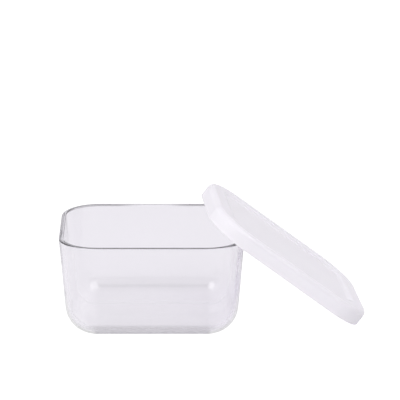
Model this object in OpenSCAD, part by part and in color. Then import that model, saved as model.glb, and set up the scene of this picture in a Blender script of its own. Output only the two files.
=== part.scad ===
// Dough proofing container: a pressed glass dish and its soft press-on lid.
// The lid is taken off and leans, hollow side down, between the table and the dish's right rim.
// Millimetres. The origin is the middle of the dish's foot, Z is up and X runs along the long side.

/* [Dish] */
// Width of the dish across its rim, along X
dish_w = 160; // [140:1:200]
// Depth of the dish across its rim, along Y
dish_d = 129.5; // [110:0.5:170]
// Height of the dish to the top of its rim
dish_h = 86; // [70:1:105]
// Outside radius of the upright corners, at the rim
corner_r = 33.5; // [31:0.5:45]
// Thickness of the glass walls, and of the rim
wall_t = 4; // [3:0.25:5]
// Radius on the two upper edges of the rim
rim_soft = 1.2; // [0.8:0.1:1.4]
// Thickness of the glass floor
floor_t = 5; // [3.5:0.25:8]
// Outward lean of the walls from foot to rim, in degrees
wall_lean = 4.7; // [2:0.1:6]
// Outside radius of the curve from the walls into the foot
foot_r = 24.5; // [14:0.5:26]

/* [Lid] */
// Height of the lid, from the skirt's lower edge to the top of its raised border
lid_h = 14.5; // [12:0.5:20]
// Thickness of the sheet: skirt, raised border, step and sunk panel
sheet_t = 1.4; // [1.2:0.1:1.8]
// Thickness of the raised border where it covers the rim
seat_t = 2.1; // [1.8:0.1:2.6]
// Radius on the raised border's outer edge
border_r = 5; // [4:0.25:5.5]
// Width of the raised border, from the skirt's outer side to the step down
border_w = 13; // [11:0.5:16]
// Width of the soft step down from the border to the sunk panel
step_run = 8; // [6:0.5:9]
// Depth of the sunk panel below the top of the raised border
panel_sink = 2; // [1.2:0.1:2.6]
// Thickness of the plug wall that stands down inside the dish
plug_t = 1.4; // [1:0.1:2]
// How far the plug wall stands down below the sunk panel
plug_drop = 3; // [2:0.25:5]
// How far the snap bead stands in from the skirt, to grip under the rim
bead_t = 0.8; // [0.5:0.1:1]
// Height of the snap bead's middle above the skirt's lower edge
bead_z = 3; // [2:0.25:5]

/* [Fit] */
// Gap between the rim's outer side and the skirt
skirt_gap = 0.3; // [0.2:0.1:0.6]
// Gap between the rim's inner side and the plug wall
plug_gap = 0.5; // [0.3:0.1:1]

/* [Lid taken off] */
// Distance along the lid from its middle to where it rests on the rim
rest_reach = 45; // [38:0.5:50]
// Turn of the leaning lid about the upright axis, in degrees
lid_turn = 4.8; // [3:0.1:6]
// Roll of the leaning lid about its long side, its front side up, in degrees
lid_roll = 1.5; // [0.5:0.1:2.5]
// Gap left between the leaning lid and the dish
rest_gap = 0.3; // [0.2:0.05:0.5]

/* [Hidden] */
$fn = 128;

// The corner axes stand this far from the middle; every outline is drawn round them
axis_x = dish_w / 2 - corner_r;
axis_y = dish_d / 2 - corner_r;

// Half of the rim's thickness, and the part of it inside the round upper edges
rim_r = wall_t / 2;
rim_flat = rim_r - rim_soft;
// Middle of the rim, in a section where X runs outwards from a corner's axis
rim_reach = rim_soft + rim_flat * (cos(wall_lean) + sin(wall_lean));
rim_x = corner_r - rim_reach;
rim_z = dish_h - rim_reach;
// Middle of the round outer edge on top of the rim
outer_x = corner_r - rim_soft;
outer_z = rim_z + rim_flat * (cos(wall_lean) - sin(wall_lean));
// Inside radius of the curve from the walls into the floor
floor_r = foot_r - wall_t;

// Lid in section, from outside to inside, and from the skirt's lower edge up
skirt_out = corner_r + skirt_gap + sheet_t;
skirt_in = corner_r + skirt_gap;
// Radius of the skirt's round lower edge, and its middle
edge_r = sheet_t / 2;
edge_x = skirt_out - edge_r;
plug_out = corner_r - wall_t - plug_gap;
plug_in = plug_out - plug_t;
seat_z = lid_h - seat_t;
border_low = lid_h - sheet_t;
panel_top = lid_h - panel_sink;
panel_low = panel_top - sheet_t;
plug_low = panel_low - plug_drop;
// Middle of the plug wall's round lower end
plug_end = plug_low + plug_t / 2;
// Middle of the border's round outer edge
shoulder_x = skirt_out - border_r;
shoulder_z = lid_h - border_r;
// Radius in the channel's outer top corner, where the sheet is thinnest
channel_r = rim_soft + skirt_gap;
// Radius on both sides of the plug wall's root
inner_r = 0.8;

// Outward distance where the step down begins, and where the flat panel does
step_x = skirt_out - border_w;
panel_x = step_x - step_run;
// The step is two equal bends of the sheet: the radius of the sheet's middle, and their centres
step_r = (step_run ^ 2 + panel_sink ^ 2) / (4 * panel_sink);
low_centre = [step_x, lid_h - sheet_t / 2 - step_r];
high_centre = [panel_x, panel_top - sheet_t / 2 + step_r];

glass_colour = [0.86, 0.85, 0.89, 0.4];
lid_colour = [0.93, 0.92, 0.95];

// Overshoot that makes a cut pass clear through a face
cut = 1;

// Sweeps a section round the dish: X of the section runs outwards from a corner's axis
module round_the_dish() {
    for (quarter = [0 : 3]) {
        across = quarter % 2 == 0 ? axis_x : axis_y;
        along = quarter % 2 == 0 ? axis_y : axis_x;
        rotate([0, 0, 90 * quarter]) {
            translate([across, along, 0])
                rotate_extrude(angle = 90) children();
            translate([across, along, 0])
                rotate([90, 0, 0])
                    linear_extrude(2 * along) children();
        }
    }
}

// Flat slab between the corner axes, from low to high
module middle_slab(low, high) {
    translate([-axis_x, -axis_y, low]) cube([2 * axis_x, 2 * axis_y, high - low]);
}

// Outward distance at height z of a line beside the wall's middle, side being positive outside
function wall_x(side, z) = rim_x + side / cos(wall_lean) - (rim_z - z) * tan(wall_lean);

// Filled section of a bowl with leaning walls, out to a line beside the wall's middle
module bowl_section(side, low, curve_r) {
    centre = [wall_x(side - curve_r, low + curve_r), low + curve_r];
    outward = [cos(wall_lean), -sin(wall_lean)];
    high = dish_h + cut;
    polygon([
        [0, low],
        [centre[0], low],
        centre + curve_r * outward,
        [wall_x(side, high), high],
        [0, high]
    ]);
    intersection() {
        translate(centre) circle(curve_r);
        square(dish_h);
    }
}

// Everything above the place where the rim's upper edges begin to round, square to the wall
module above_rim() {
    translate([-dish_w / 2, rim_flat]) square([dish_w, dish_h]);
}

// Top of the rim between and in its two round upper edges
module rim_top() {
    translate([-rim_flat, 0]) square([2 * rim_flat, rim_r]);
    for (side = [-1, 1])
        translate([side * rim_flat, rim_flat]) circle(rim_soft);
}

// Wall, rim and corner of the floor in section
module dish_section() {
    difference() {
        bowl_section(rim_r, 0, foot_r);
        bowl_section(-rim_r, floor_t, floor_r);
        translate([rim_x, rim_z]) rotate(-wall_lean) above_rim();
    }
    translate([rim_x, rim_z]) rotate(-wall_lean) rim_top();
}

module glass_dish() {
    color(glass_colour) {
        round_the_dish() dish_section();
        middle_slab(0, floor_t);
    }
}

// Channel that takes the rim: an upright hollow with two round top corners
module channel_section() {
    low = min(plug_end, shoulder_z) - cut;
    polygon([
        [plug_out, low],
        [plug_out, seat_z - inner_r],
        [plug_out + inner_r, seat_z],
        [skirt_in - channel_r, seat_z],
        [skirt_in, seat_z - channel_r],
        [skirt_in, low]
    ]);
    translate([plug_out + inner_r, seat_z - inner_r]) circle(inner_r);
    translate([skirt_in - channel_r, seat_z - channel_r]) circle(channel_r);
}

// Corner filling in section: the square between a corner and centre, less a circle about centre
module fillet(corner, centre) {
    r = abs(corner[0] - centre[0]);
    difference() {
        translate([min(corner[0], centre[0]), min(corner[1], centre[1])]) square(r);
        translate(centre) circle(r);
    }
}

module quarter_disc(r) {
    intersection() {
        circle(r);
        square(r);
    }
}

// Raised border that covers the rim, down to the skirt outside it and the plug wall inside it
module border_section() {
    difference() {
        union() {
            translate([step_x, border_low]) square([shoulder_x - step_x, sheet_t]);
            translate([plug_in, plug_end]) square([shoulder_x - plug_in, lid_h - plug_end]);
            translate([shoulder_x, shoulder_z]) quarter_disc(border_r);
        }
        channel_section();
    }
    translate([(plug_in + plug_out) / 2, plug_end]) circle(plug_t / 2);
    fillet([plug_in, border_low], [plug_in - inner_r, border_low - inner_r]);
}

// Skirt below the border, with its round lower edge and the snap bead
module skirt_section() {
    translate([skirt_in, edge_r]) square([sheet_t, shoulder_z - edge_r]);
    translate([edge_x, edge_r]) circle(edge_r);
    translate([skirt_in, bead_z]) circle(bead_t);
}

// One bend of the sheet in section: between the upright and the line to the other bend's centre
module bend_section(centre, other) {
    upright = other[1] > centre[1] ? 2 * step_r : -2 * step_r;
    intersection() {
        translate(centre)
            difference() {
                circle(step_r + sheet_t / 2);
                circle(step_r - sheet_t / 2);
            }
        polygon([centre, centre + [0, upright], other]);
    }
}

// Corner of the sunk panel, and the soft step up to the border
module panel_section() {
    bend_section(low_centre, high_centre);
    bend_section(high_centre, low_centre);
    translate([0, panel_low]) square([panel_x, sheet_t]);
}

module lid_section() {
    border_section();
    skirt_section();
    panel_section();
}

// The lid in its own frame: the skirt's lower edge at z = 0, hollow side down
module lid_form() {
    round_the_dish() lid_section();
    middle_slab(panel_low, panel_top);
}

// Turning by an angle about one axis, as a matrix
function about_x(a) = [[1, 0, 0], [0, cos(a), -sin(a)], [0, sin(a), cos(a)]];
function about_y(a) = [[cos(a), 0, sin(a)], [0, 1, 0], [-sin(a), 0, cos(a)]];
function about_z(a) = [[cos(a), -sin(a), 0], [sin(a), cos(a), 0], [0, 0, 1]];

// How far an outline of corner radius r reaches in the level direction (a, b)
function reach(a, b, r) = abs(a) * axis_x + abs(b) * axis_y + r * norm([a, b]);

// Tilt at which the lid's low end is on the table and its panel on the rim
lean_run = rest_reach + axis_x + skirt_out;
lid_tilt = asin(dish_h / norm([lean_run, panel_low])) - atan2(panel_low, lean_run);
lid_axes = about_z(lid_turn) * about_y(lid_tilt) * about_x(-lid_roll);
lid_up = [for (row = lid_axes) row[2]];

// Height of the lid's middle that puts the round lower edge of its skirt on the table
lid_z = edge_r * (1 - lid_up[2]) + reach(lid_axes[2][0], lid_axes[2][1], edge_x);

// Place along X, for a place y along Y, that lays the panel's underside on the rim
rim_support = lid_up[2] * outer_z + reach(lid_up[0], lid_up[1], outer_x) + rim_soft;
function lid_x(y) =
    (rim_support + rest_gap - panel_low - lid_up[1] * y - lid_up[2] * lid_z) / lid_up[0];

// Levels of the skirt and of its bead in section: distance out, height and radius there
skirt_levels = concat(
    [for (z = [edge_r : 1 : seat_z]) [edge_x, z, edge_r]],
    [[skirt_in, bead_z, bead_t]]
);

// Points of each level, round the lid's front left corner and along its front side
function level_points(out) = concat(
    [for (a = [0 : 90]) [-axis_x - out * sin(a), -axis_y - out * cos(a)]],
    [for (x = [-axis_x : axis_x]) [x, -axis_y - out]]
);

// Room between a point and the rim or the wall below it
function rim_room(p) =
    let (
        x = norm([max(abs(p[0]) - axis_x, 0), max(abs(p[1]) - axis_y, 0)]) - rim_x,
        z = p[2] - rim_z,
        beside = abs(x * cos(wall_lean) - z * sin(wall_lean)) - rim_flat,
        above = x * sin(wall_lean) + z * cos(wall_lean) - rim_flat
    )
    norm([max(beside, 0), max(above, 0)]) - rim_soft;

// Least room between the skirt and the rim with the lid's middle at y
function skirt_room(y) =
    let (middle = [lid_x(y), y, lid_z])
    min([
        for (level = skirt_levels)
            for (p = level_points(level[0]))
                rim_room(middle + lid_axes * [p[0], p[1], level[1]]) - level[2]
    ]);

// How far the lid slides back until its skirt meets the front right corner of the rim
function slide_back(near, far, steps) =
    let (middle = (near + far) / 2)
    steps == 0 ? near
    : skirt_room(middle) > rest_gap ? slide_back(middle, far, steps - 1)
    : slide_back(near, middle, steps - 1);
lid_y = slide_back(0, corner_r, 16);

module lid() {
    color(lid_colour)
        translate([lid_x(lid_y), lid_y, lid_z])
            rotate([-lid_roll, lid_tilt, lid_turn])
                lid_form();
}

glass_dish();
lid();
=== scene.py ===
import enum
import logging
import math
from dataclasses import dataclass, field
from typing import ClassVar, List, Sequence, Tuple

import bmesh
import bpy
from mathutils import Matrix, Vector


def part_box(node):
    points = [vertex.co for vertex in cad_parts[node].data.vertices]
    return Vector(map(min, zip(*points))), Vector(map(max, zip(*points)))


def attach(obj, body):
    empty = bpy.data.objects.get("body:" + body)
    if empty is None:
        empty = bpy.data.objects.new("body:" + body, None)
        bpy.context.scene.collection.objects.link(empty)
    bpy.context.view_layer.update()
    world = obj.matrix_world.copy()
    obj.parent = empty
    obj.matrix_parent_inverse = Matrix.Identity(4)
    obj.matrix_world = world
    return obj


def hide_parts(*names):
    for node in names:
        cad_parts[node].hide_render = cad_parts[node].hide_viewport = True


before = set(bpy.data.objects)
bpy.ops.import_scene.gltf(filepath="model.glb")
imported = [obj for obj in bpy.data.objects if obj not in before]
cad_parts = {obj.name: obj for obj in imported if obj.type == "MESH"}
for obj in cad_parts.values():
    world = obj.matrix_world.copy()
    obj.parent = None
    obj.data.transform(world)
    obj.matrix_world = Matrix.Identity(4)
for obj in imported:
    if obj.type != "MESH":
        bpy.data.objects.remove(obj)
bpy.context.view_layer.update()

log = logging.getLogger("proofing_dish")
MM = 0.001
SAME_PLACE = 1e-7
Point = Tuple[float, float]


class Bend(enum.Enum):
    """Which way the surface faces on a round stretch of a section."""

    CONVEX = 1
    CONCAVE = -1


@dataclass
class Section:
    """A section drawn point by point, with the surface's direction at each point.

    The first coordinate runs outwards from the corner's axis and the second runs up. Each point
    holds the direction of the surface that arrives there and of the one that leaves.
    """

    arc_step: float = math.radians(4.0)
    points: List[Point] = field(default_factory=list)
    arriving: List[Point] = field(default_factory=list)
    leaving: List[Point] = field(default_factory=list)

    def add(self, point: Point, facing: Point) -> None:
        """Adds a point, or gives the last point a new direction if it lies there already.

        Args:
            point: The place of the point.
            facing: The direction of the surface from this point on.
        """
        if self.points and math.dist(self.points[-1], point) < SAME_PLACE:
            self.leaving[-1] = facing
            return
        self.points.append(point)
        self.arriving.append(facing)
        self.leaving.append(facing)

    def arc(self, centre: Point, radius: float, start: float, end: float, bend: Bend) -> None:
        """Adds a round stretch.

        Args:
            centre: The middle of the arc.
            radius: Its radius.
            start: The angle where it begins, in degrees.
            end: The angle where it ends, in degrees.
            bend: Whether the surface faces away from the middle or towards it.
        """
        steps = max(2, math.ceil(abs(math.radians(end - start)) / self.arc_step))
        for step in range(steps + 1):
            angle = math.radians(start + (end - start) * step / steps)
            outward = (math.cos(angle), math.sin(angle))
            place = (centre[0] + radius * outward[0], centre[1] + radius * outward[1])
            self.add(place, (bend.value * outward[0], bend.value * outward[1]))


@dataclass
class RoundedBox:
    """The rounded rectangle that every section of the dish and the lid is swept round."""

    axis_x: float
    axis_y: float
    corner_steps: int = 32

    def rings(self) -> List[Tuple[float, float, float]]:
        """Gives each stop on the way round.

        Returns:
            The corner axis's place along X and Y and the outward angle, for each stop.
        """
        stops = []
        for quarter, (side_x, side_y) in enumerate(((1, 1), (-1, 1), (-1, -1), (1, -1))):
            for step in range(self.corner_steps + 1):
                angle = math.pi / 2 * (quarter + step / self.corner_steps)
                stops.append((side_x * self.axis_x, side_y * self.axis_y, angle))
        return stops

    def sweep(self, name: str, section: Section) -> bpy.types.Object:
        """Sweeps a section round the box and closes both its ends with flat faces.

        Args:
            name: The name of the new object.
            section: The section, from the middle of one side of the sheet to the other.

        Returns:
            The new object, with the section's own surface directions on its faces.
        """
        stops = self.rings()
        count = len(section.points)
        build = bmesh.new()
        rows = []
        for x, y, angle in stops:
            across, along = math.cos(angle), math.sin(angle)
            rows.append([build.verts.new((x + s * across, y + s * along, z))
                         for s, z in section.points])
        facings: List[Vector] = []
        for here in range(len(stops)):
            there = (here + 1) % len(stops)
            for low in range(count - 1):
                build.faces.new((rows[here][low], rows[there][low],
                                 rows[there][low + 1], rows[here][low + 1]))
                facings.extend((
                    self.turned(section.leaving[low], stops[here][2]),
                    self.turned(section.leaving[low], stops[there][2]),
                    self.turned(section.arriving[low + 1], stops[there][2]),
                    self.turned(section.arriving[low + 1], stops[here][2]),
                ))
        for end in (0, count - 1):
            ring = [row[end] for row in rows]
            build.faces.new(ring if end else list(reversed(ring)))
            facings.extend(self.turned(section.leaving[end], 0.0) for _ in ring)
        mesh = bpy.data.meshes.new(name)
        build.to_mesh(mesh)
        build.free()
        mesh.polygons.foreach_set("use_smooth", [True] * len(mesh.polygons))
        mesh.normals_split_custom_set([tuple(facing) for facing in facings])
        piece = bpy.data.objects.new(name, mesh)
        bpy.context.scene.collection.objects.link(piece)
        return piece

    @staticmethod
    def turned(facing: Point, angle: float) -> Vector:
        """Turns a section's direction to face outwards at an angle.

        Args:
            facing: The direction in the section.
            angle: The angle round the corner's axis.

        Returns:
            The direction in the object.
        """
        return Vector((facing[0] * math.cos(angle), facing[0] * math.sin(angle), facing[1]))


@dataclass(frozen=True)
class NodeMaterial:
    """A material made of nodes, with the wiring that all the finishes share."""

    name: str
    blend_ends: ClassVar[Tuple[float, float]] = (0.3, 0.7)

    def start(self) -> Tuple[bpy.types.Material, bpy.types.Node]:
        """Makes the material.

        Returns:
            The material and its surface shader.
        """
        material = bpy.data.materials.new(self.name)
        material.use_nodes = True
        return material, material.node_tree.nodes["Principled BSDF"]

    @staticmethod
    def noise(material: bpy.types.Material, scale: float, detail: float) -> bpy.types.Node:
        """Adds a noise texture that follows the object's own coordinates.

        Args:
            material: The material to add it to.
            scale: Waves per metre.
            detail: Octaves of finer noise.

        Returns:
            The noise node.
        """
        nodes, links = material.node_tree.nodes, material.node_tree.links
        place = nodes.new("ShaderNodeTexCoord")
        noise = nodes.new("ShaderNodeTexNoise")
        noise.inputs["Scale"].default_value = scale
        noise.inputs["Detail"].default_value = detail
        links.new(place.outputs["Object"], noise.inputs["Vector"])
        return noise

    @staticmethod
    def spread(material: bpy.types.Material, source: bpy.types.NodeSocket,
               low: float, high: float) -> bpy.types.NodeSocket:
        """Spreads a 0 to 1 value over a range.

        Args:
            material: The material to work in.
            source: The value.
            low: What 0 becomes.
            high: What 1 becomes.

        Returns:
            The socket with the new value.
        """
        node = material.node_tree.nodes.new("ShaderNodeMapRange")
        node.inputs["To Min"].default_value = low
        node.inputs["To Max"].default_value = high
        material.node_tree.links.new(source, node.inputs["Value"])
        return node.outputs["Result"]

    @staticmethod
    def blend(material: bpy.types.Material, source: bpy.types.NodeSocket,
              dark: Sequence[float], light: Sequence[float]) -> bpy.types.NodeSocket:
        """Blends two colours by a value.

        Args:
            material: The material to work in.
            source: The value, from 0 to 1.
            dark: The colour at the first of the blend's ends.
            light: The colour at the second.

        Returns:
            The socket with the colour.
        """
        node = material.node_tree.nodes.new("ShaderNodeValToRGB")
        ends = zip(node.color_ramp.elements, NodeMaterial.blend_ends, (dark, light))
        for element, position, tone in ends:
            element.position = position
            element.color = (*tone, 1.0)
        material.node_tree.links.new(source, node.inputs["Fac"])
        return node.outputs["Color"]

    @staticmethod
    def bump(material: bpy.types.Material, shader: bpy.types.Node,
             height: bpy.types.NodeSocket, depth: float) -> None:
        """Raises the surface by a height, in metres at 1.

        Args:
            material: The material to work in.
            shader: The shader whose surface is raised.
            height: The value that gives the height.
            depth: The height at 1.
        """
        node = material.node_tree.nodes.new("ShaderNodeBump")
        node.inputs["Strength"].default_value = 1.0
        node.inputs["Distance"].default_value = depth
        material.node_tree.links.new(height, node.inputs["Height"])
        material.node_tree.links.new(node.outputs["Normal"], shader.inputs["Normal"])


@dataclass(frozen=True)
class PressedGlass(NodeMaterial):
    """Clear pressed glass, faintly wavy.

    The pairs of lengths are zones on the dish: where a share is 0 and where it is 1. The zones
    hold painted shade and painted light: a dark rim that stands in for light a real dish catches
    in its rim, a dark band at the foot and a darker floor for the shadowed table seen through
    them, and lower corners that the camera sees straight through.
    """

    name: str = "pressed_glass"
    index: float = 1.5
    thin_tone: Tuple[float, float, float] = (0.985, 0.985, 0.985)
    thick_tone: Tuple[float, float, float] = (0.978, 0.978, 0.978)
    wave_scale: float = 28.0
    wave_octaves: float = 2.0
    roughest: float = 0.015
    wave_depth: float = 0.01 * MM
    head_on: float = 0.04
    steep: float = 0.5
    passing_head_on: float = 0.965
    passing_steep: float = 0.8
    most_mirrorings: float = 3.5
    outline_clear: float = 0.85
    outline_from: float = 0.06
    outline_full: float = 0.22
    low_corner: Tuple[float, float] = (50.0 * MM, 16.0 * MM)
    outer_ends: Tuple[float, float] = (44.0 * MM, 52.0 * MM)
    foot_zone: float = 50.0 * MM
    rim_zone: float = 66.0 * MM
    foot_leak: float = 0.85
    rim_leak: float = 0.15
    # painted shade: the dark band along the foot's straight curves
    foot_painted_shade: float = 0.5
    # painted shade: the darker floor inside the dish
    floor_painted_shade: float = 0.925
    # painted shade: the dark rim
    rim_painted_shade: float = 0.35
    above_foot: Tuple[float, float] = (1.5 * MM, 5.5 * MM)
    below_wall: Tuple[float, float] = (16.0 * MM, 11.0 * MM)
    straight: Tuple[float, float] = (64.0 * MM, 44.0 * MM)
    outside: Tuple[float, float] = (50.5 * MM, 53.5 * MM)
    on_floor: Tuple[float, float] = (18.0 * MM, 10.0 * MM)
    floor_ends: Tuple[float, float] = (54.0 * MM, 48.0 * MM)
    floor_sides: Tuple[float, float] = (62.0 * MM, 57.0 * MM)
    rim_top: Tuple[float, float] = (84.4 * MM, 85.0 * MM)
    rim_side: Tuple[float, float] = (76.6 * MM, 77.6 * MM)
    corner_ends: Tuple[float, float] = (64.0 * MM, 72.0 * MM)
    corner_sides: Tuple[float, float] = (34.0 * MM, 46.0 * MM)
    back_side: Tuple[float, float] = (42.0 * MM, 58.0 * MM)
    back_ends: Tuple[float, float] = (8.0 * MM, 34.0 * MM)

    def material(self) -> bpy.types.Material:
        """Makes the glass.

        Returns:
            The material.
        """
        glass, shader = self.start()
        shader.inputs["IOR"].default_value = self.index
        shader.inputs["Transmission Weight"].default_value = 1.0
        waves = self.noise(glass, self.wave_scale, self.wave_octaves)
        tone = self.blend(glass, waves.outputs["Fac"], self.thick_tone, self.thin_tone)
        glass.node_tree.links.new(self.with_painted_shade(glass, tone), shader.inputs["Base Color"])
        rough = self.spread(glass, waves.outputs["Fac"], 0.0, self.roughest)
        glass.node_tree.links.new(rough, shader.inputs["Roughness"])
        self.bump(glass, shader, waves.outputs["Fac"], self.wave_depth)
        self.let_light_out(glass, shader)
        return glass

    def with_painted_shade(self, glass: bpy.types.Material,
                 tone: bpy.types.NodeSocket) -> bpy.types.NodeSocket:
        """Paints shade into the colour of the faces where light enters the floor, the foot's
        straight curves and the rim.

        Args:
            glass: The material to work in.
            tone: The glass's colour elsewhere.

        Returns:
            The socket with the colour.
        """
        nodes, links = glass.node_tree.nodes, glass.node_tree.links
        face = nodes.new("ShaderNodeNewGeometry")
        entering = self.spread(glass, face.outputs["Backfacing"], 1.0, 0.0)
        # painted shade: darker floor, dark band at the foot, dark rim
        for share, dark in ((self.floor_shade_share(glass), self.floor_painted_shade),
                            (self.foot_shade_share(glass), self.foot_painted_shade),
                            (self.rim_shade_share(glass), self.rim_painted_shade)):
            blend = nodes.new("ShaderNodeMix")
            blend.data_type = "RGBA"
            links.new(self.product(glass, entering, share), blend.inputs["Factor"])
            links.new(tone, blend.inputs["A"])
            blend.inputs["B"].default_value = (dark, dark, dark, 1.0)
            tone = blend.outputs["Result"]
        return tone

    def foot_shade_share(self, glass: bpy.types.Material) -> bpy.types.NodeSocket:
        """Tells the outside of the foot's straight curves, which get painted shade: a dark band
        that stands in for the table's shadow seen through them.

        Args:
            glass: The material to work in.

        Returns:
            The socket with the share.
        """
        across, along, up = self.places(glass)
        return self.product(glass, self.zone(glass, up, *self.above_foot),
                            self.zone(glass, up, *self.below_wall),
                            self.zone(glass, across, *self.straight),
                            self.zone(glass, along, *self.outside))

    def floor_shade_share(self, glass: bpy.types.Material) -> bpy.types.NodeSocket:
        """Tells the floor inside the dish, the thickest glass, which gets painted shade: it is
        darkened for the shadowed table seen through it.

        Args:
            glass: The material to work in.

        Returns:
            The socket with the share.
        """
        across, along, up = self.places(glass)
        return self.product(glass, self.zone(glass, up, *self.on_floor),
                            self.zone(glass, across, *self.floor_ends),
                            self.zone(glass, along, *self.floor_sides))

    def rim_shade_share(self, glass: bpy.types.Material) -> bpy.types.NodeSocket:
        """Tells the rim at the sides, the corners and the back, which gets painted shade: a dark
        rim for the light that runs along it.

        Args:
            glass: The material to work in.

        Returns:
            The socket with the share.
        """
        across, along, up = self.places(glass)
        corners = self.product(glass, self.zone(glass, across, *self.corner_ends),
                               self.zone(glass, along, *self.corner_sides))
        behind = self.product(glass, self.zone(glass, across, *self.back_ends),
                              self.zone(glass, self.place(glass, "Y"), *self.back_side))
        share = self.paired(glass, "MAXIMUM", corners, behind)
        share = self.paired(glass, "MAXIMUM", share, self.zone(glass, across, *self.rim_side))
        return self.product(glass, share, self.zone(glass, up, *self.rim_top))

    def places(self, glass: bpy.types.Material) -> Tuple[bpy.types.NodeSocket, ...]:
        """Gives the distances from the middle across and along the dish, and the height.

        Args:
            glass: The material to work in.

        Returns:
            The three sockets, in metres.
        """
        return (self.without_sign(glass, self.place(glass, "X")),
                self.without_sign(glass, self.place(glass, "Y")), self.place(glass, "Z"))

    def product(self, material: bpy.types.Material,
                *shares: bpy.types.NodeSocket) -> bpy.types.NodeSocket:
        """Multiplies several shares.

        Args:
            material: The material to work in.
            shares: The shares, two or more.

        Returns:
            The socket with the product.
        """
        result = shares[0]
        for share in shares[1:]:
            result = self.paired(material, "MULTIPLY", result, share)
        return result

    @staticmethod
    def place(material: bpy.types.Material, axis: str) -> bpy.types.NodeSocket:
        """Gives the place along one of the object's own axes.

        Args:
            material: The material to work in.
            axis: The axis's letter.

        Returns:
            The socket with the place, in metres.
        """
        nodes, links = material.node_tree.nodes, material.node_tree.links
        split = nodes.new("ShaderNodeSeparateXYZ")
        links.new(nodes.new("ShaderNodeTexCoord").outputs["Object"], split.inputs["Vector"])
        return split.outputs[axis]

    @staticmethod
    def paired(material: bpy.types.Material, way: str, one: bpy.types.NodeSocket,
               other: bpy.types.NodeSocket) -> bpy.types.NodeSocket:
        """Joins two values.

        Args:
            material: The material to work in.
            way: The way to join them.
            one: The first value.
            other: The second value.

        Returns:
            The socket with the result.
        """
        node = material.node_tree.nodes.new("ShaderNodeMath")
        node.operation = way
        material.node_tree.links.new(one, node.inputs[0])
        material.node_tree.links.new(other, node.inputs[1])
        return node.outputs["Value"]

    @staticmethod
    def without_sign(material: bpy.types.Material,
                     source: bpy.types.NodeSocket) -> bpy.types.NodeSocket:
        """Gives a value's distance from 0.

        Args:
            material: The material to work in.
            source: The value.

        Returns:
            The socket with the distance.
        """
        node = material.node_tree.nodes.new("ShaderNodeMath")
        node.operation = "ABSOLUTE"
        material.node_tree.links.new(source, node.inputs[0])
        return node.outputs["Value"]

    def zone(self, material: bpy.types.Material, source: bpy.types.NodeSocket,
             nothing: float, full: float) -> bpy.types.NodeSocket:
        """Gives a soft share of a zone: 0 on one side of it and 1 on the other.

        Args:
            material: The material to work in.
            source: A place along an axis.
            nothing: Where the share is 0.
            full: Where it is 1.

        Returns:
            The socket with the share.
        """
        share = self.spread(material, source, 0.0, 1.0)
        share.node.interpolation_type = "SMOOTHSTEP"
        if nothing > full:
            share.node.inputs["To Min"].default_value = 1.0
            share.node.inputs["To Max"].default_value = 0.0
        share.node.inputs["From Min"].default_value = min(nothing, full)
        share.node.inputs["From Max"].default_value = max(nothing, full)
        return share

    def by_slant(self, glass: bpy.types.Material, head_on: float, steep: float,
                 start: float, full: float) -> bpy.types.NodeSocket:
        """Gives a value that changes with how much the surface slants to the light's path.

        Args:
            glass: The material to work in.
            head_on: The value where it doesn't slant.
            steep: The value where it slants most.
            start: The mirrored share of the light where the value begins to change.
            full: The mirrored share where it has changed fully.

        Returns:
            The socket with the value.
        """
        slant = glass.node_tree.nodes.new("ShaderNodeFresnel")
        slant.inputs["IOR"].default_value = self.index
        share = self.spread(glass, slant.outputs["Fac"], head_on, steep)
        share.node.inputs["From Min"].default_value = start
        share.node.inputs["From Max"].default_value = full
        return share

    def shadow_tone(self, glass: bpy.types.Material) -> bpy.types.NodeSocket:
        """Gives how much of a lamp's light passes a face: less, the more it slants.

        Args:
            glass: The material to work in.

        Returns:
            The socket with the share.
        """
        return self.by_slant(glass, self.passing_head_on, self.passing_steep,
                             self.head_on, self.steep)

    def painted_corner_light(self, glass: bpy.types.Material) -> bpy.types.NodeSocket:
        """Gives how clear the lower corners are where they turn away: painted light, as camera
        rays pass straight through there and show the white beyond.

        Args:
            glass: The material to work in.

        Returns:
            The socket with the share.
        """
        across, _, up = self.places(glass)
        path = glass.node_tree.nodes.new("ShaderNodeLightPath")
        return self.product(glass, self.by_slant(glass, 0.0, self.outline_clear,
                                                 self.outline_from, self.outline_full),
                            self.zone(glass, up, *self.low_corner),
                            self.zone(glass, across, *self.outer_ends),
                            self.spread(glass, path.outputs["Ray Depth"], 1.0, 0.0))

    def leak_tone(self, glass: bpy.types.Material) -> bpy.types.NodeSocket:
        """Gives how much of the light caught in the wall gets out: most of it near the foot.

        Args:
            glass: The material to work in.

        Returns:
            The socket with the share.
        """
        share = self.spread(glass, self.place(glass, "Z"), self.foot_leak, self.rim_leak)
        share.node.interpolation_type = "SMOOTHSTEP"
        share.node.inputs["From Min"].default_value = self.foot_zone
        share.node.inputs["From Max"].default_value = self.rim_zone
        return share

    def let_light_out(self, glass: bpy.types.Material, shader: bpy.types.Node) -> None:
        """Lets the lamps' light through, and light that was mirrored many times inside the wall.

        Args:
            glass: The material to work in.
            shader: The glass itself.
        """
        nodes, links = glass.node_tree.nodes, glass.node_tree.links
        path = nodes.new("ShaderNodeLightPath")
        caught = nodes.new("ShaderNodeMath")
        caught.operation = "GREATER_THAN"
        caught.inputs[1].default_value = self.most_mirrorings
        links.new(path.outputs["Glossy Depth"], caught.inputs[0])
        either = self.paired(glass, "MAXIMUM", caught.outputs["Value"],
                             path.outputs["Is Shadow Ray"])
        tone = nodes.new("ShaderNodeMix")
        links.new(path.outputs["Is Shadow Ray"], tone.inputs["Factor"])
        links.new(self.leak_tone(glass), tone.inputs["A"])
        links.new(self.shadow_tone(glass), tone.inputs["B"])
        clear = nodes.new("ShaderNodeBsdfTransparent")
        links.new(tone.outputs["Result"], clear.inputs["Color"])
        choice = nodes.new("ShaderNodeMixShader")
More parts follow.
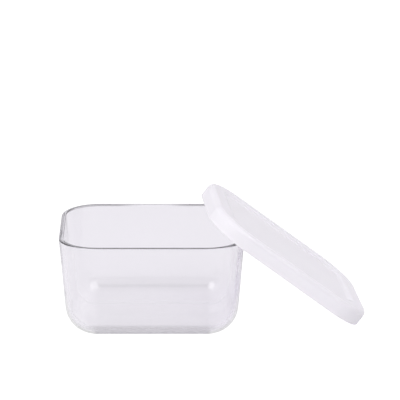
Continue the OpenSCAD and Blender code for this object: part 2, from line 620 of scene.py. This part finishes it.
        # painted light: the lower corners turn clear to the camera
        links.new(self.paired(glass, "MAXIMUM", either, self.painted_corner_light(glass)),
                  choice.inputs["Fac"])
        links.new(shader.outputs["BSDF"], choice.inputs[1])
        links.new(clear.outputs["BSDF"], choice.inputs[2])
        links.new(choice.outputs["Shader"], nodes["Material Output"].inputs["Surface"])


@dataclass(frozen=True)
class SoftLidPlastic(NodeMaterial):
    """Soft translucent white plastic, satin, with a fine moulded grain."""

    name: str = "soft_lid_plastic"
    dark_tone: Tuple[float, float, float] = (0.902, 0.868, 0.950)
    light_tone: Tuple[float, float, float] = (0.920, 0.886, 0.968)
    index: float = 1.51
    scattered: float = 0.6
    scatter: float = 4.0 * MM
    scatter_spread: Tuple[float, float, float] = (1.0, 0.95, 1.0)
    cloud_scale: float = 30.0
    cloud_octaves: float = 3.0
    grain_scale: float = 2200.0
    grain_octaves: float = 2.0
    grain_depth: float = 0.012 * MM
    smoothest: float = 0.17
    roughest: float = 0.27
    passing: float = 0.86
    see_through: float = 0.12

    def material(self) -> bpy.types.Material:
        """Makes the plastic.

        Returns:
            The material.
        """
        plastic, shader = self.start()
        shader.inputs["IOR"].default_value = self.index
        shader.inputs["Subsurface Weight"].default_value = self.scattered
        shader.inputs["Transmission Weight"].default_value = self.see_through
        shader.inputs["Subsurface Radius"].default_value = self.scatter_spread
        shader.inputs["Subsurface Scale"].default_value = self.scatter
        cloud = self.noise(plastic, self.cloud_scale, self.cloud_octaves)
        tone = self.blend(plastic, cloud.outputs["Fac"], self.dark_tone, self.light_tone)
        plastic.node_tree.links.new(tone, shader.inputs["Base Color"])
        grain = self.noise(plastic, self.grain_scale, self.grain_octaves)
        rough = self.spread(plastic, grain.outputs["Fac"], self.smoothest, self.roughest)
        plastic.node_tree.links.new(rough, shader.inputs["Roughness"])
        self.bump(plastic, shader, grain.outputs["Fac"], self.grain_depth)
        self.lighten_shadow(plastic, shader)
        return plastic

    def lighten_shadow(self, plastic: bpy.types.Material, shader: bpy.types.Node) -> None:
        """Lets part of the lamps' light through, as the thin sheet does.

        Args:
            plastic: The material to work in.
            shader: The plastic itself.
        """
        nodes, links = plastic.node_tree.nodes, plastic.node_tree.links
        path = nodes.new("ShaderNodeLightPath")
        clear = nodes.new("ShaderNodeBsdfTransparent")
        clear.inputs["Color"].default_value = (*(self.passing,) * 3, 1.0)
        choice = nodes.new("ShaderNodeMixShader")
        links.new(path.outputs["Is Shadow Ray"], choice.inputs["Fac"])
        links.new(shader.outputs["BSDF"], choice.inputs[1])
        links.new(clear.outputs["BSDF"], choice.inputs[2])
        links.new(choice.outputs["Shader"], nodes["Material Output"].inputs["Surface"])


@dataclass
class GlassDish:
    """The pressed glass dish: leaning walls, a soft-edged rim and a broad round foot."""

    width: float
    depth: float
    height: float
    corner_radius: float = 33.5 * MM
    wall: float = 4.0 * MM
    floor: float = 5.0 * MM
    lean: float = 4.7
    foot_radius: float = 24.5 * MM
    rim_corner: float = 1.2 * MM

    def box(self) -> RoundedBox:
        """Gives the rounded rectangle through the corners' axes.

        Returns:
            The rounded rectangle.
        """
        return RoundedBox(self.width / 2 - self.corner_radius, self.depth / 2 - self.corner_radius)

    def rim_reach(self) -> float:
        """Works out how far the rim reaches out and up from its middle.

        Returns:
            The distance.
        """
        lean = math.radians(self.lean)
        flat = self.wall / 2 - self.rim_corner
        return self.rim_corner + flat * (math.cos(lean) + math.sin(lean))

    def wall_place(self, side: float, height: float) -> float:
        """How far out a line beside the wall's middle lies at a height.

        Args:
            side: The line's distance from the wall's middle, positive outside.
            height: The height above the foot.

        Returns:
            The distance out from the corner's axis.
        """
        lean = math.radians(self.lean)
        drop = self.height - self.rim_reach() - height
        middle = self.corner_radius - self.rim_reach()
        return middle + side / math.cos(lean) - drop * math.tan(lean)

    def section(self) -> Section:
        """Draws the glass from the middle of the foot, over the rim, to the middle of the floor.

        Returns:
            The section.
        """
        rim = self.wall / 2
        inside_radius = self.foot_radius - self.wall
        foot_x = self.wall_place(rim - self.foot_radius, self.foot_radius)
        floor_z = self.floor + inside_radius
        floor_x = self.wall_place(-rim - inside_radius, floor_z)
        drawn = Section()
        drawn.add((foot_x / 2, 0.0), (0.0, -1.0))
        drawn.arc((foot_x, self.foot_radius), self.foot_radius, -90.0, -self.lean, Bend.CONVEX)
        along = math.radians(self.lean)
        out = Vector((math.cos(along), -math.sin(along)))
        up = Vector((math.sin(along), math.cos(along)))
        middle = Vector((self.corner_radius - self.rim_reach(), self.height - self.rim_reach()))
        soft = self.rim_corner
        outer = middle + (rim - soft) * (out + up)
        inner = middle + (rim - soft) * (up - out)
        drawn.arc(tuple(outer), soft, -self.lean, 90.0 - self.lean, Bend.CONVEX)
        drawn.arc(tuple(inner), soft, 90.0 - self.lean, 180.0 - self.lean, Bend.CONVEX)
        drawn.arc((floor_x, floor_z), inside_radius, -self.lean, -90.0, Bend.CONCAVE)
        drawn.add((floor_x / 2, self.floor), (0.0, 1.0))
        return drawn

    def build(self, finish: PressedGlass) -> bpy.types.Object:
        """Builds the dish and dresses it.

        Args:
            finish: The glass.

        Returns:
            The dish.
        """
        dish = self.box().sweep("dish_glass", self.section())
        dish.data.materials.append(finish.material())
        dish.visible_diffuse = False
        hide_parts("glass_dish")
        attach(dish, "dish")
        return dish


@dataclass
class PressOnLid:
    """The soft lid, as it leans between the table and the dish's rim."""

    dish: GlassDish
    height: float = 14.5 * MM
    sheet: float = 1.4 * MM
    seat: float = 2.1 * MM
    border_radius: float = 5.0 * MM
    border_width: float = 13.0 * MM
    sink: float = 2.0 * MM
    step_run: float = 8.0 * MM
    plug_drop: float = 3.0 * MM
    bead: float = 0.8 * MM
    bead_height: float = 3.0 * MM
    skirt_gap: float = 0.3 * MM
    plug_gap: float = 0.5 * MM
    inside_radius: float = 0.8 * MM
    rest_reach: float = 45.0 * MM
    turn: float = 4.8
    roll: float = 1.5

    def skirt_out(self) -> float:
        """Works out how far out the skirt's outer side lies from the corner's axis.

        Returns:
            The distance.
        """
        return self.dish.corner_radius + self.skirt_gap + self.sheet

    def panel_top(self) -> float:
        """Works out the height of the sunk panel's upper side.

        Returns:
            The height above the skirt's lower edge.
        """
        return self.height - self.sink

    def section(self) -> Section:
        """Draws the lid from the middle of its underside, round the skirt, to its upper side.

        Returns:
            The section.
        """
        edge = self.sheet / 2
        out = self.skirt_out()
        skirt_in = out - self.sheet
        plug_out = self.dish.corner_radius - self.dish.wall - self.plug_gap
        plug_in = plug_out - self.sheet
        border_low = self.height - self.sheet
        seat = self.height - self.seat
        panel_top = self.panel_top()
        panel_low = panel_top - self.sheet
        plug_end = panel_low - self.plug_drop + edge
        corner = self.inside_radius
        channel = self.dish.rim_corner + self.skirt_gap
        angle = math.degrees(2.0 * math.atan2(self.sink, self.step_run))
        bend = (self.step_run ** 2 + self.sink ** 2) / (4.0 * self.sink)
        high = (out - self.border_width, self.height - edge - bend)
        panel_x = high[0] - self.step_run
        low = (panel_x, panel_top - edge + bend)
        drawn = Section(arc_step=math.radians(6.0))
        drawn.add((panel_x / 2, panel_low), (0.0, -1.0))
        drawn.arc(low, bend + edge, -90.0, -90.0 + angle, Bend.CONVEX)
        drawn.arc(high, bend - edge, 90.0 + angle, 90.0, Bend.CONCAVE)
        drawn.arc((plug_in - corner, border_low - corner), corner, 90.0, 0.0, Bend.CONCAVE)
        drawn.arc((plug_in + edge, plug_end), edge, -180.0, 0.0, Bend.CONVEX)
        drawn.arc((plug_out + corner, seat - corner), corner, 180.0, 90.0, Bend.CONCAVE)
        drawn.arc((skirt_in - channel, seat - channel), channel, 90.0, 0.0, Bend.CONCAVE)
        drawn.add((skirt_in, self.bead_height + self.bead), (-1.0, 0.0))
        drawn.arc((skirt_in, self.bead_height), self.bead, 90.0, 270.0, Bend.CONVEX)
        drawn.add((skirt_in, self.bead_height - self.bead), (-1.0, 0.0))
        drawn.arc((out - edge, edge), edge, -180.0, 0.0, Bend.CONVEX)
        drawn.arc((out - self.border_radius, self.height - self.border_radius),
                  self.border_radius, 0.0, 90.0, Bend.CONVEX)
        drawn.arc(high, bend + edge, 90.0, 90.0 + angle, Bend.CONVEX)
        drawn.arc(low, bend - edge, -90.0 + angle, -90.0, Bend.CONCAVE)
        drawn.add((panel_x / 2, panel_top), (0.0, 1.0))
        return drawn

    def turned(self) -> Matrix:
        """Works out how the lid lies, from where it touches the table and the rim.

        Returns:
            The turn from the lid's own frame to its resting place.
        """
        run = self.rest_reach + self.dish.box().axis_x + self.skirt_out()
        under = self.panel_top() - self.sheet
        tilt = math.asin(self.dish.height / math.hypot(run, under)) - math.atan2(under, run)
        return (Matrix.Rotation(math.radians(self.turn), 4, "Z")
                @ Matrix.Rotation(tilt, 4, "Y")
                @ Matrix.Rotation(math.radians(-self.roll), 4, "X"))

    def build(self, finish: SoftLidPlastic) -> bpy.types.Object:
        """Builds the lid where the frame's lid lies, and dresses it.

        Args:
            finish: The plastic.

        Returns:
            The lid.
        """
        lid = self.dish.box().sweep("press_on_lid", self.section())
        lid.data.transform(self.turned())
        low, high = (Vector(corner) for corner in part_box("lid"))
        places = [vertex.co for vertex in lid.data.vertices]
        own_low = Vector([min(place[axis] for place in places) for axis in range(3)])
        own_high = Vector([max(place[axis] for place in places) for axis in range(3)])
        lid.data.transform(Matrix.Translation((low + high - own_low - own_high) / 2))
        lid.data.materials.append(finish.material())
        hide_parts("lid")
        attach(lid, "lid")
        return lid


@dataclass(frozen=True)
class Lamp:
    """A soft lamp that points at the object: its place, its face's size and its power."""

    name: str
    place: Tuple[float, float, float]
    width: float
    height: float
    power: float

    def hang(self, aim: Tuple[float, float, float]) -> None:
        """Hangs the lamp.

        Args:
            aim: The point that it lights.
        """
        light = bpy.data.lights.new(self.name, "AREA")
        light.shape = "RECTANGLE"
        light.size = self.width
        light.size_y = self.height
        light.energy = self.power
        lamp = bpy.data.objects.new(self.name, light)
        lamp.location = self.place
        way = Vector(aim) - lamp.location
        lamp.rotation_euler = way.to_track_quat("-Z", "Y").to_euler()
        bpy.context.scene.collection.objects.link(lamp)


@dataclass
class Studio:
    """A pale floor, soft lamps and the camera."""

    lamps: Tuple[Lamp, ...] = (
        Lamp("left_lamp", (-1.15, -1.6, 1.8), width=1.2, height=1.5, power=13.5),
        Lamp("right_lamp", (1.2, -1.5, 1.75), width=1.8, height=1.8, power=15.2),
        Lamp("side_lamp", (-1.9, -0.8, 1.45), width=0.22, height=1.0, power=1.0),
    )
    lamp_aim: Tuple[float, float, float] = (0.04, 0.0, 0.05)
    floor_radius: float = 12.0
    floor_drop: float = 0.2 * MM
    floor_sides: int = 96
    floor_tone: float = 0.80
    floor_shaded: Tuple[float, float] = (0.78, 0.36)
    floor_lift: Tuple[float, float] = (0.12, 0.80)
    sky_white: Tuple[float, float] = (0.95, 1.0)
    front_fade: Tuple[float, float] = (-0.65, -0.15)
    cool_white: Tuple[float, float, float] = (0.955, 0.930, 0.990)
    bright_from: Tuple[float, float, float] = (-0.85, 0.45, 0.2)
    least_light: float = 0.50
    most_light: float = 1.00
    dim_side: float = 0.25
    camera_place: Tuple[float, float, float] = (0.0416, -2.781, 0.9793)
    pitch_down: float = 17.37
    lens_pixels: float = 3357.0
    image_pixels: float = 400.0
    sensor: float = 36.0
    far_clip: float = 100.0

    @staticmethod
    def larger(tree: bpy.types.NodeTree, one: bpy.types.NodeSocket,
               other: bpy.types.NodeSocket) -> bpy.types.NodeSocket:
        """Gives the larger of two values.

        Args:
            tree: The node tree to work in.
            one: The first value.
            other: The second value.

        Returns:
            The socket with the larger one.
        """
        node = tree.nodes.new("ShaderNodeMath")
        node.operation = "MAXIMUM"
        tree.links.new(one, node.inputs[0])
        tree.links.new(other, node.inputs[1])
        return node.outputs["Value"]

    def seen_ray(self, tree: bpy.types.NodeTree) -> bpy.types.NodeSocket:
        """Tells the rays that show the background from those that only light things.

        Args:
            tree: The node tree to work in.

        Returns:
            A socket that is 1 on camera, mirror and see-through rays.
        """
        path = tree.nodes.new("ShaderNodeLightPath")
        glassy = self.larger(tree, path.outputs["Is Glossy Ray"],
                             path.outputs["Is Transmission Ray"])
        return self.larger(tree, path.outputs["Is Camera Ray"], glassy)

    def by_ray(self, tree: bpy.types.NodeTree, glass: float,
               camera: float) -> bpy.types.NodeSocket:
        """Gives a white that is plain to the camera and cool in the glass.

        Args:
            tree: The node tree to work in.
            glass: How bright it is to mirror and see-through rays.
            camera: How bright it is to the camera.

        Returns:
            The socket with the colour.
        """
        path = tree.nodes.new("ShaderNodeLightPath")
        tone = tree.nodes.new("ShaderNodeMix")
        tone.data_type = "RGBA"
        tone.inputs["A"].default_value = (*(glass * part for part in self.cool_white), 1.0)
        tone.inputs["B"].default_value = (camera, camera, camera, 1.0)
        tree.links.new(path.outputs["Is Camera Ray"], tone.inputs["Factor"])
        return tone.outputs["Result"]

    def floor(self) -> None:
        """Lays the floor, which keeps the object's shadow and is white round it."""
        build = bmesh.new()
        bmesh.ops.create_circle(build, cap_ends=True, segments=self.floor_sides,
                                radius=self.floor_radius)
        bmesh.ops.translate(build, verts=build.verts, vec=(0.0, 0.0, -self.floor_drop))
        mesh = bpy.data.meshes.new("studio_floor")
        build.to_mesh(mesh)
        build.free()
        sheet = bpy.data.objects.new("studio_floor", mesh)
        bpy.context.scene.collection.objects.link(sheet)
        sheet.data.materials.append(self.floor_paint())

    def floor_paint(self) -> bpy.types.Material:
        """Makes the floor's white: matt to the light, and lifted where it is seen.

        Returns:
            The material.
        """
        paint = bpy.data.materials.new("studio_floor")
        paint.use_nodes = True
        tree = paint.node_tree
        matt = tree.nodes["Principled BSDF"]
        matt.inputs["Base Color"].default_value = (*(self.floor_tone,) * 3, 1.0)
        matt.inputs["Roughness"].default_value = 1.0
        matt.inputs["Specular IOR Level"].default_value = 0.0
        shaded = tree.nodes.new("ShaderNodeBsdfDiffuse")
        tree.links.new(self.by_ray(tree, *self.floor_shaded), shaded.inputs["Color"])
        lift = tree.nodes.new("ShaderNodeEmission")
        tree.links.new(self.by_ray(tree, *self.floor_lift), lift.inputs["Color"])
        seen = tree.nodes.new("ShaderNodeAddShader")
        tree.links.new(shaded.outputs["BSDF"], seen.inputs[0])
        tree.links.new(lift.outputs["Emission"], seen.inputs[1])
        choice = tree.nodes.new("ShaderNodeMixShader")
        tree.links.new(self.seen_ray(tree), choice.inputs["Fac"])
        tree.links.new(matt.outputs["BSDF"], choice.inputs[1])
        tree.links.new(seen.outputs["Shader"], choice.inputs[2])
        tree.links.new(choice.outputs["Shader"], tree.nodes["Material Output"].inputs["Surface"])
        return paint

    def sky(self) -> None:
        """Sets the surroundings: soft light all round, white to the camera, dim in front."""
        world = bpy.data.worlds.new("studio")
        world.use_nodes = True
        tree = world.node_tree
        background = tree.nodes["Background"]
        place = tree.nodes.new("ShaderNodeTexCoord")
        split = tree.nodes.new("ShaderNodeSeparateXYZ")
        tree.links.new(place.outputs["Generated"], split.inputs["Vector"])
        front = tree.nodes.new("ShaderNodeMapRange")
        front.interpolation_type = "SMOOTHSTEP"
        front.inputs["From Min"].default_value = self.front_fade[0]
        front.inputs["From Max"].default_value = self.front_fade[1]
        front.inputs["To Min"].default_value = self.dim_side
        tree.links.new(split.outputs["Y"], front.inputs["Value"])
        mirrored = tree.nodes.new("ShaderNodeMix")
        mirrored.data_type = "RGBA"
        mirrored.inputs["A"].default_value = (0.0, 0.0, 0.0, 1.0)
        tree.links.new(front.outputs["Result"], mirrored.inputs["Factor"])
        tree.links.new(self.by_ray(tree, *self.sky_white), mirrored.inputs["B"])
        path = tree.nodes.new("ShaderNodeLightPath")
        tone = tree.nodes.new("ShaderNodeMix")
        tone.data_type = "RGBA"
        tone.inputs["A"].default_value = (1.0, 1.0, 1.0, 1.0)
        tree.links.new(self.larger(tree, path.outputs["Is Glossy Ray"],
                                   path.outputs["Is Transmission Ray"]), tone.inputs["Factor"])
        tree.links.new(mirrored.outputs["Result"], tone.inputs["B"])
        tree.links.new(tone.outputs["Result"], background.inputs["Color"])
        side = tree.nodes.new("ShaderNodeVectorMath")
        side.operation = "DOT_PRODUCT"
        side.inputs[1].default_value = self.bright_from
        tree.links.new(place.outputs["Generated"], side.inputs[0])
        soft = tree.nodes.new("ShaderNodeMapRange")
        soft.inputs["From Min"].default_value = -1.0
        soft.inputs["To Min"].default_value = self.least_light
        soft.inputs["To Max"].default_value = self.most_light
        tree.links.new(side.outputs["Value"], soft.inputs["Value"])
        strength = tree.nodes.new("ShaderNodeMapRange")
        tree.links.new(soft.outputs["Result"], strength.inputs["To Min"])
        tree.links.new(self.seen_ray(tree), strength.inputs["Value"])
        tree.links.new(strength.outputs["Result"], background.inputs["Strength"])
        bpy.context.scene.world = world

    def camera(self) -> None:
        """Sets the camera up."""
        view = bpy.data.cameras.new("view")
        view.sensor_width = self.sensor
        view.lens = self.lens_pixels / self.image_pixels * self.sensor
        view.clip_end = self.far_clip
        camera = bpy.data.objects.new("view", view)
        camera.location = self.camera_place
        camera.rotation_euler = (math.radians(90.0 - self.pitch_down), 0.0, 0.0)
        bpy.context.scene.collection.objects.link(camera)
        bpy.context.scene.camera = camera

    def build(self) -> None:
        """Sets up the whole studio."""
        bpy.context.scene.view_settings.view_transform = "Standard"
        self.camera()
        self.floor()
        self.sky()
        for lamp in self.lamps:
            lamp.hang(self.lamp_aim)


def main() -> None:
    """Builds the dish, the lid and the studio in order."""
    logging.basicConfig(level=logging.INFO, format="%(name)s: %(message)s")
    Studio().build()
    low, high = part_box("glass_dish")
    dish = GlassDish(width=high[0] - low[0], depth=high[1] - low[1], height=high[2] - low[2])
    log.info("built %s", dish.build(PressedGlass()).name)
    log.info("built %s", PressOnLid(dish).build(SoftLidPlastic()).name)


if __name__ == "__main__":
    main()
